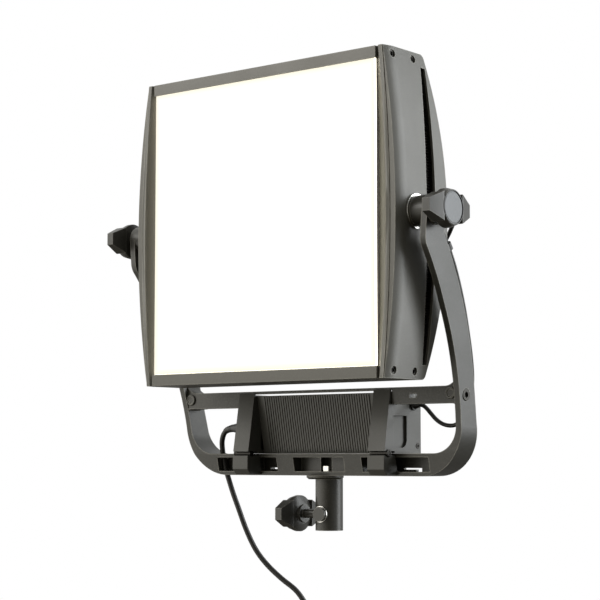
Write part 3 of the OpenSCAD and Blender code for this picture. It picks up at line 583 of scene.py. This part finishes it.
def coil_path():
    """The wound part of the lead: it is laid on at the top of the coil and leaves at its rear, going down."""
    first_x = -(COIL_COLUMNS - 1) / 2 * COIL_PITCH
    join_z = math.sqrt((slot_radius(COIL_ROWS - 1) + JOIN_R) ** 2 - JOIN_Y**2)
    start = math.atan2(JOIN_Y, join_z)
    points = []
    for i in range(JOIN_STEPS):
        a = math.pi + JOIN_LEAN + (math.pi / 2 - start - JOIN_LEAN) * i / JOIN_STEPS
        y, z = JOIN_Y + JOIN_R * math.cos(a), join_z + JOIN_R * math.sin(a)
        points.append(COIL_CENTRE + Vector((first_x, y, z)))
    first = round(start / (2 * math.pi) * TURN_POINTS)
    count = round((len(WINDING) - 0.75) * TURN_POINTS)
    for i in range(first, count + 1):
        turn = i / TURN_POINTS
        here = min(int(turn), len(WINDING) - 1)
        after = min(here + 1, len(WINDING) - 1)
        ease = max(0.0, (turn - here - (1 - CROSSING)) / CROSSING)
        ease = ease * ease * (3 - 2 * ease)
        row = WINDING[here][0] + (WINDING[after][0] - WINDING[here][0]) * ease
        column = WINDING[here][1] + (WINDING[after][1] - WINDING[here][1]) * ease
        radius = slot_radius(row)
        angle = 2 * math.pi * turn
        x = (column - (COIL_COLUMNS - 1) / 2) * COIL_PITCH
        points.append(COIL_CENTRE + Vector((x, radius * math.sin(angle), radius * math.cos(angle))))
    return points


def curve_cord(name, points, diameter, shade):
    """A round cord as a curve of one open spline."""
    data = bpy.data.curves.new(name, "CURVE")
    data.dimensions = "3D"
    data.bevel_depth = diameter / 2
    data.bevel_resolution = 4
    data.use_fill_caps = True
    spline = data.splines.new("POLY")
    spline.points.add(len(points) - 1)
    for point, p in zip(spline.points, points):
        point.co = (*p, 1)
    data.materials.append(shade.mat)
    obj = bpy.data.objects.new(name, data)
    bpy.context.scene.collection.objects.link(obj)
    return obj


mains_free = catmull(in_metres(MAINS_ROUTE[:-ROUTE_ON_COIL]), 5)
# Where the lead leaves the coil, in mm. It runs straight down from there into the plug.
PLUG_AT = (-43.8, 84.3, -172.0)
tail = in_metres([(*PLUG_AT[:2], z) for z in (-186, -196)])
mains_points = mains_free + coil_path() + tail
mains = curve_cord("mains_lead_run", mains_points, MAINS_D, JACKET)
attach(mains, ROOT)
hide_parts("mains_lead", "mains_coil")

# The low voltage lead runs past the clip on the arm to the head.
dc_points = catmull(in_metres(DC_ROUTE), 6)
dc = add_mesh("dc_lead_run", *sweep(dc_points, [DC_D / 2] * len(dc_points), 16), JACKET, "lead_jacket")
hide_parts("dc_lead")
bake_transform(dc)


# ---------- Small pieces ----------


def revolve(name, profile, centre, axis, shade, slot, body, segments=64, flutes=0, depth=0.0, capped=True):
    """A turned piece from (distance along axis, radius) pairs in mm. Flutes ripple its wide part by depth."""
    axis = Vector(axis).normalized()
    side = axis.orthogonal().normalized()
    up = axis.cross(side)
    widest = max(radius for _, radius in profile)
    verts = []
    for along, radius in profile:
        for k in range(segments):
            a = 2 * math.pi * k / segments
            r = radius
            if flutes and radius > 0.75 * widest:
                r += depth * math.cos(flutes * a)
            out = (math.cos(a) * side + math.sin(a) * up) * r
            verts.append(Vector(centre) * MM + (axis * along + out) * MM)
    piece = add_mesh(name, verts, skin(len(profile), segments, capped), shade, slot)
    sharpen(piece)
    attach(piece, body)
    return piece


def rounded_boxes(name, boxes, radius, shade, slot, body):
    """One piece made of boxes with rounded edges, each given by two corners in mm."""
    verts, faces = [], []
    for low, high in boxes:
        faces += box_faces(len(verts))
        verts += [Vector(corner) * MM for corner in box_corners(low, high)]
    piece = add_mesh(name, verts, faces, shade, slot)
    if radius:
        edge = piece.modifiers.new("round", "BEVEL")
        edge.width = radius * MM
        edge.segments = 3
        edge.limit_method = "ANGLE"
        even = piece.modifiers.new("even", "WEIGHTED_NORMAL")
        even.weight = 60
    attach(piece, body)
    return piece


def loft(name, sections, centre, shade, slot, body, count=40, power=4.0):
    """Rounded-rectangle sections stacked along Z, each (z, half x, half y) in mm."""
    verts = []
    for z, hx, hy in sections:
        for k in range(count):
            a = 2 * math.pi * k / count
            c, q = math.cos(a), math.sin(a)
            r = (abs(c) ** power + abs(q) ** power) ** (-1 / power)
            verts.append((Vector(centre) + Vector((hx * r * c, hy * r * q, z))) * MM)
    piece = add_mesh(name, verts, skin(len(sections), count), shade, slot)
    sharpen(piece, 50)
    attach(piece, body)
    return piece


# Profile of a socket head screw.
SCREW_HEAD = [(0, 2.9), (1.1, 2.9), (1.5, 2.4), (1.5, 1.5), (0.5, 1.4), (0.5, 0.05)]
SCREW_SINK = 0.5


def screw(name, x, y, z):
    """A screw head that faces backwards on the head, sunk a little below the face at y."""
    revolve(name, SCREW_HEAD, (x, y - SCREW_SINK, z), (0, 1, 0), SCREW, "black_screw", HEAD, 24)


# Length of the plain control knob, and the fluted one's profile from the same underside.
KNOB_L = 12.7
KNOB_PROFILE = [
    (-8, 3), (0, 3), (0, 10.6), (0.5, 10.9), (1.5, 10.9), (2.0, 10.5), (2.6, 10.65), (10.6, 10.3),
    (11.5, 9.9), (12.1, 9.0), (12.1, 8.2), (11.7, 7.8), (11.7, 0.2),
]


def control_knob(node, body):
    """A fluted knob with a raised pointer, in place of the plain one. Gives the middle of its dial."""
    low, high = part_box(node)
    x, z = (low.x + high.x) / 2 / MM, (low.z + high.z) / 2 / MM
    top = high.y / MM
    seat = (x, top - KNOB_L, z)
    knob = revolve(node + "_grip", KNOB_PROFILE, seat, (0, 1, 0), KNOB, "knob_plastic", body, 192, 32, 0.28)
    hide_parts(node)
    pointer = ((x - 0.5, top - 0.95, z + 3), (x + 0.5, top - 0.35, z + 9.6))
    rounded_boxes(node + "_pointer", [pointer], 0.15, MARK, "board_white", body)
    return x, z


# The dial's ticks: how many, where they start, the angle between them and their inner radius.
TICKS, TICK_START, TICK_STEP, TICK_R = 11, 225, 27, 12.6


def dial_ticks(name, x, z, y, body):
    """Ticks round a knob, on the face at y, with a longer one at each end and in the middle."""
    verts, faces = [], []
    for i in range(TICKS):
        a = math.radians(TICK_START - TICK_STEP * i)
        out = Vector((math.cos(a), 0, math.sin(a)))
        side = Vector((-math.sin(a), 0, math.cos(a)))
        long = 3.0 if i % 5 == 0 else 1.8
        faces += box_faces(len(verts))
        for r in (TICK_R, TICK_R + long):
            for w in (-0.22, 0.22):
                for h in (-0.1, 0.12):
                    verts.append((Vector((x, y, z)) + out * r + side * w + Vector((0, h, 0))) * MM)
    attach(add_mesh(name, verts, faces, MARK, "board_white", smooth=False), body)


BARS, BAR_PITCH, BAR_W, BAR_RISE = 8, 5.2, 3.2, 1.9


def display_bars(y):
    """Lit bars of rising height on the display."""
    lit = Shade("display_bars").set(Roughness=0.4, Emission_Strength=0.7)
    lit.colour(lit.blend(lit.noise(300), (0.10, 0.35, 0.40), (0.12, 0.40, 0.45)))
    lit.set(Emission_Color=(0.20, 0.75, 0.85, 1))
    low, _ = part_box("display_window")
    base = low.z / MM
    boxes = []
    for i in range(BARS):
        x = low.x / MM + 7 + i * BAR_PITCH
        boxes.append(((x, y + 0.08, base + 6), (x + BAR_W, y + 0.22, base + 8 + BAR_RISE * i)))
    rounded_boxes("display_bars", boxes, 0, lit, "screen", HEAD)


SCREW_INSET = 6


def console_details():
    low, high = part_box("control_console")
    face = high.y / MM
    for node, body in (("dimmer_knob", "dimmer"), ("colour_knob", "colour")):
        x, z = control_knob(node, body)
        dial_ticks(node + "_dial", x, z, face, HEAD)
    for side, x in (("l", low.x / MM + SCREW_INSET), ("r", high.x / MM - SCREW_INSET)):
        for level, z in (("d", low.z / MM + SCREW_INSET), ("u", high.z / MM - SCREW_INSET)):
            screw("console_screw_" + side + level, x, face, z)
    display_bars(face)


# Height of the fan's middle above the tilt axis, and the circle that its screws are on.
FAN_RISE, FAN_SCREW_R = 45, 32.5


def fan_screws():
    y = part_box("fan_grille")[1].y / MM
    for i in range(4):
        a = math.radians(90 * i)
        x, z = FAN_SCREW_R * math.cos(a), PIVOT.z / MM + FAN_RISE + FAN_SCREW_R * math.sin(a)
        screw("fan_screw_%d" % i, x, y, z)


# The side cover's outer face: its middle, how far it bows in at its ends, half its height and its radius.
COVER_X, COVER_RISE, COVER_HALF_H = 181.5, 15, 169
COVER_BOW_R = (COVER_HALF_H**2 + COVER_RISE**2) / (2 * COVER_RISE)
# Pitch of the fins, how many are on each side of the middle one, and half the thickness of one.
LOUVRE_PITCH, LOUVRE_PAIRS, LOUVRE_HALF_T = 3.1, 49, 0.5
# How far the fins' two side faces are inside the cover's.
LOUVRE_INNER, LOUVRE_OUTER = 10, 5.2
# The vent slot: half its height, its front edge behind the head's front, how far that sweeps back at the
# ends, and its back edge.
SLOT_HALF_H, SLOT_FRONT, SLOT_SWEEP, SLOT_BACK = 154, 50.2, 8, 66.8


def louvres(name, sign):
    """Thin fins behind a side cover's vent slot."""
    boxes = []
    for i in range(-LOUVRE_PAIRS, LOUVRE_PAIRS + 1):
        z = i * LOUVRE_PITCH
        out = COVER_X - (COVER_BOW_R - math.sqrt(COVER_BOW_R**2 - z * z))
        x0, x1 = sorted((sign * (out - LOUVRE_INNER), sign * (out - LOUVRE_OUTER)))
        front = FRONT_Y / MM + SLOT_FRONT + SLOT_SWEEP * (z / SLOT_HALF_H) ** 2
        back = FRONT_Y / MM + SLOT_BACK
        middle = PIVOT.z / MM + z
        boxes.append(((x0, front, middle - LOUVRE_HALF_T), (x1, back, middle + LOUVRE_HALF_T)))
    rounded_boxes(name, boxes, 0, BLACK, "black_plastic", HEAD)


def cap_ring(side, sign):
    """A dark ring round a tilt knob's cap."""
    low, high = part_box("tilt_cap_" + side)
    face = high.x if sign > 0 else low.x
    reach = (high.z - low.z) / 2 / MM
    profile = [
        (-0.6, reach + 0.9), (0.25, reach + 0.9), (0.55, reach + 0.5), (0.55, reach - 0.2),
        (0.25, reach - 0.6), (-0.6, reach - 0.6),
    ]
    centre = (face / MM, (low.y + high.y) / 2 / MM, (low.z + high.z) / 2 / MM)
    body = "tilt_handle_" + side
    revolve(
        "tilt_cap_ring_" + side, profile, centre, (sign, 0, 0), BLACK, "black_plastic", body, capped=False
    )


BOSS_PROFILE = [(-2, 6.3), (1.2, 6.3), (2.0, 5.6), (2.0, 4.4), (1.2, 3.9), (1.2, 0.05)]
BOSS_X, BOSS_Y, BOSS_Z = 180.5, -27.5, 146


def rail_boss(side, sign):
    """A round boss where the cross rail meets the yoke."""
    place = (sign * BOSS_X, BOSS_Y, BOSS_Z)
    revolve("rail_boss_" + side, BOSS_PROFILE, place, (0, -1, 0), YOKE_PAINT, "yoke_paint", ROOT, 48)


# Where the relief starts, inside the gland.
RELIEF_START = Vector((-0.107, -0.021, 0.113))
# The relief's radius at its two ends, the depth of its rings and the distance between them, in metres.
RELIEF_R0, RELIEF_R1 = 5.6 * MM, 3.35 * MM
RELIEF_RING, RELIEF_RING_PITCH = 0.00045, 0.0024


def mains_relief():
    """Tapered, ringed strain relief on the mains lead, out of the gland."""
    lead_in = [RELIEF_START + (mains_free[0] - RELIEF_START) * t for t in (0, 0.2, 0.4, 0.6, 0.8)]
    path = catmull(lead_in + mains_free[:8], 4)
    length = line_length(path)
    radii = []
    for i in range(len(path)):
        run = line_length(path[: i + 1])
        t = run / length
        ring = RELIEF_RING * (0.5 + 0.5 * math.cos(2 * math.pi * run / RELIEF_RING_PITCH))
        radii.append(RELIEF_R0 * (1 - t) + RELIEF_R1 * t - ring)
    piece = add_mesh("mains_relief", *sweep(path, radii, 28), BLACK, "black_plastic")
    sharpen(piece, 40)
    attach(piece, ROOT)


def mains_plug():
    """A moulded plug: a relief of nine tapering rings, rounded shoulders and five grip ridges."""
    sections = [(-20, 3.3, 3.3)]
    for i in range(9):
        z = -22 - i * 2.7
        r = 3.7 + i * 0.34
        sections += [(z, r, r), (z - 1.3, r, r), (z - 1.35, r - 0.7, r - 0.7), (z - 2.6, r - 0.7, r - 0.7)]
    sections += [(-46.6, 7.0, 9.6), (-48, 7.8, 11.4), (-50.5, 8.5, 12.4)]
    for i in range(5):
        z = -53 - i * 3
        sections += [(z, 8.8, 12.7), (z - 0.4, 8.3, 12.2), (z - 1.5, 8.3, 12.2), (z - 1.9, 8.8, 12.7)]
    sections += [(-69, 8.9, 12.8), (-74.6, 8.9, 12.8), (-75.7, 8.2, 12.1), (-76, 7.2, 11.1)]
    plug = loft("mains_plug_body", sections, PLUG_AT, BLACK, "black_plastic", ROOT, 48, 4.5)
    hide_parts("mains_plug")


# Half the strap's loop along the coil's axis and along its radius, its thickness and half its width, in mm.
STRAP_ACROSS, STRAP_DEEP, STRAP_T, STRAP_HALF_W = 10.1, 13.1, 1.1, 6
# The loop's points in one round, its points in all, and where its lapped end starts to lift.
STRAP_ROUND, STRAP_POINTS, STRAP_LAP_FROM = 64, 73, 56


def strap_loop():
    """The strap's line in its own plane. Its last stretch lifts off as the lapped end."""
    loop = []
    for k in range(STRAP_POINTS):
        a = 2 * math.pi * k / STRAP_ROUND
        c, q = math.cos(a), math.sin(a)
        r = (abs(c) ** 5 + abs(q) ** 5) ** (-1 / 5)
        lift = 0.11 * max(0, k - STRAP_LAP_FROM) / (STRAP_POINTS - 1 - STRAP_LAP_FROM)
        loop.append((STRAP_ACROSS * r * c * (1 + lift * 1.2), STRAP_DEEP * r * q * (1 + lift)))
    return loop


def coil_strap():
    """A strap round the coil, in place of the plain tie."""
    low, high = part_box("coil_tie")
    centre = (low + high) / 2
    radial = centre - COIL_CENTRE
    radial.x = 0
    radial.normalize()
    across = Vector((1, 0, 0))
    along = radial.cross(across)
    loop = strap_loop()
    verts = []
    for u, v in loop:
        for thick in (0, STRAP_T):
            n = Vector((u, v, 0)).normalized() * thick
            for w in (-STRAP_HALF_W, STRAP_HALF_W):
                verts.append(centre + (across * (u + n.x) + radial * (v + n.y) + along * w) * MM)
    faces = []
    for i in range(len(loop) - 1):
        a, b = i * 4, (i + 1) * 4
        faces += [(a, a + 1, b + 1, b), (a + 2, b + 2, b + 3, a + 3)]
        faces += [(a, b, b + 2, a + 2), (a + 1, a + 3, b + 3, b + 1)]
    last = (len(loop) - 1) * 4
    faces += [(0, 2, 3, 1), (last, last + 1, last + 3, last + 2)]
    strap = add_mesh("coil_strap", verts, faces, STRAP, "tie_strap")
    sharpen(strap, 50)
    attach(strap, ROOT)
    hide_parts("coil_tie")


SIDES = (("right", 1), ("left", -1))

console_details()
fan_screws()
for side, sign in SIDES:
    louvres("vent_louvres_" + side, sign)
for side, sign in SIDES:
    cap_ring(side, sign)
for side, sign in SIDES:
    rail_boss(side, sign)
mains_relief()
mains_plug()
coil_strap()
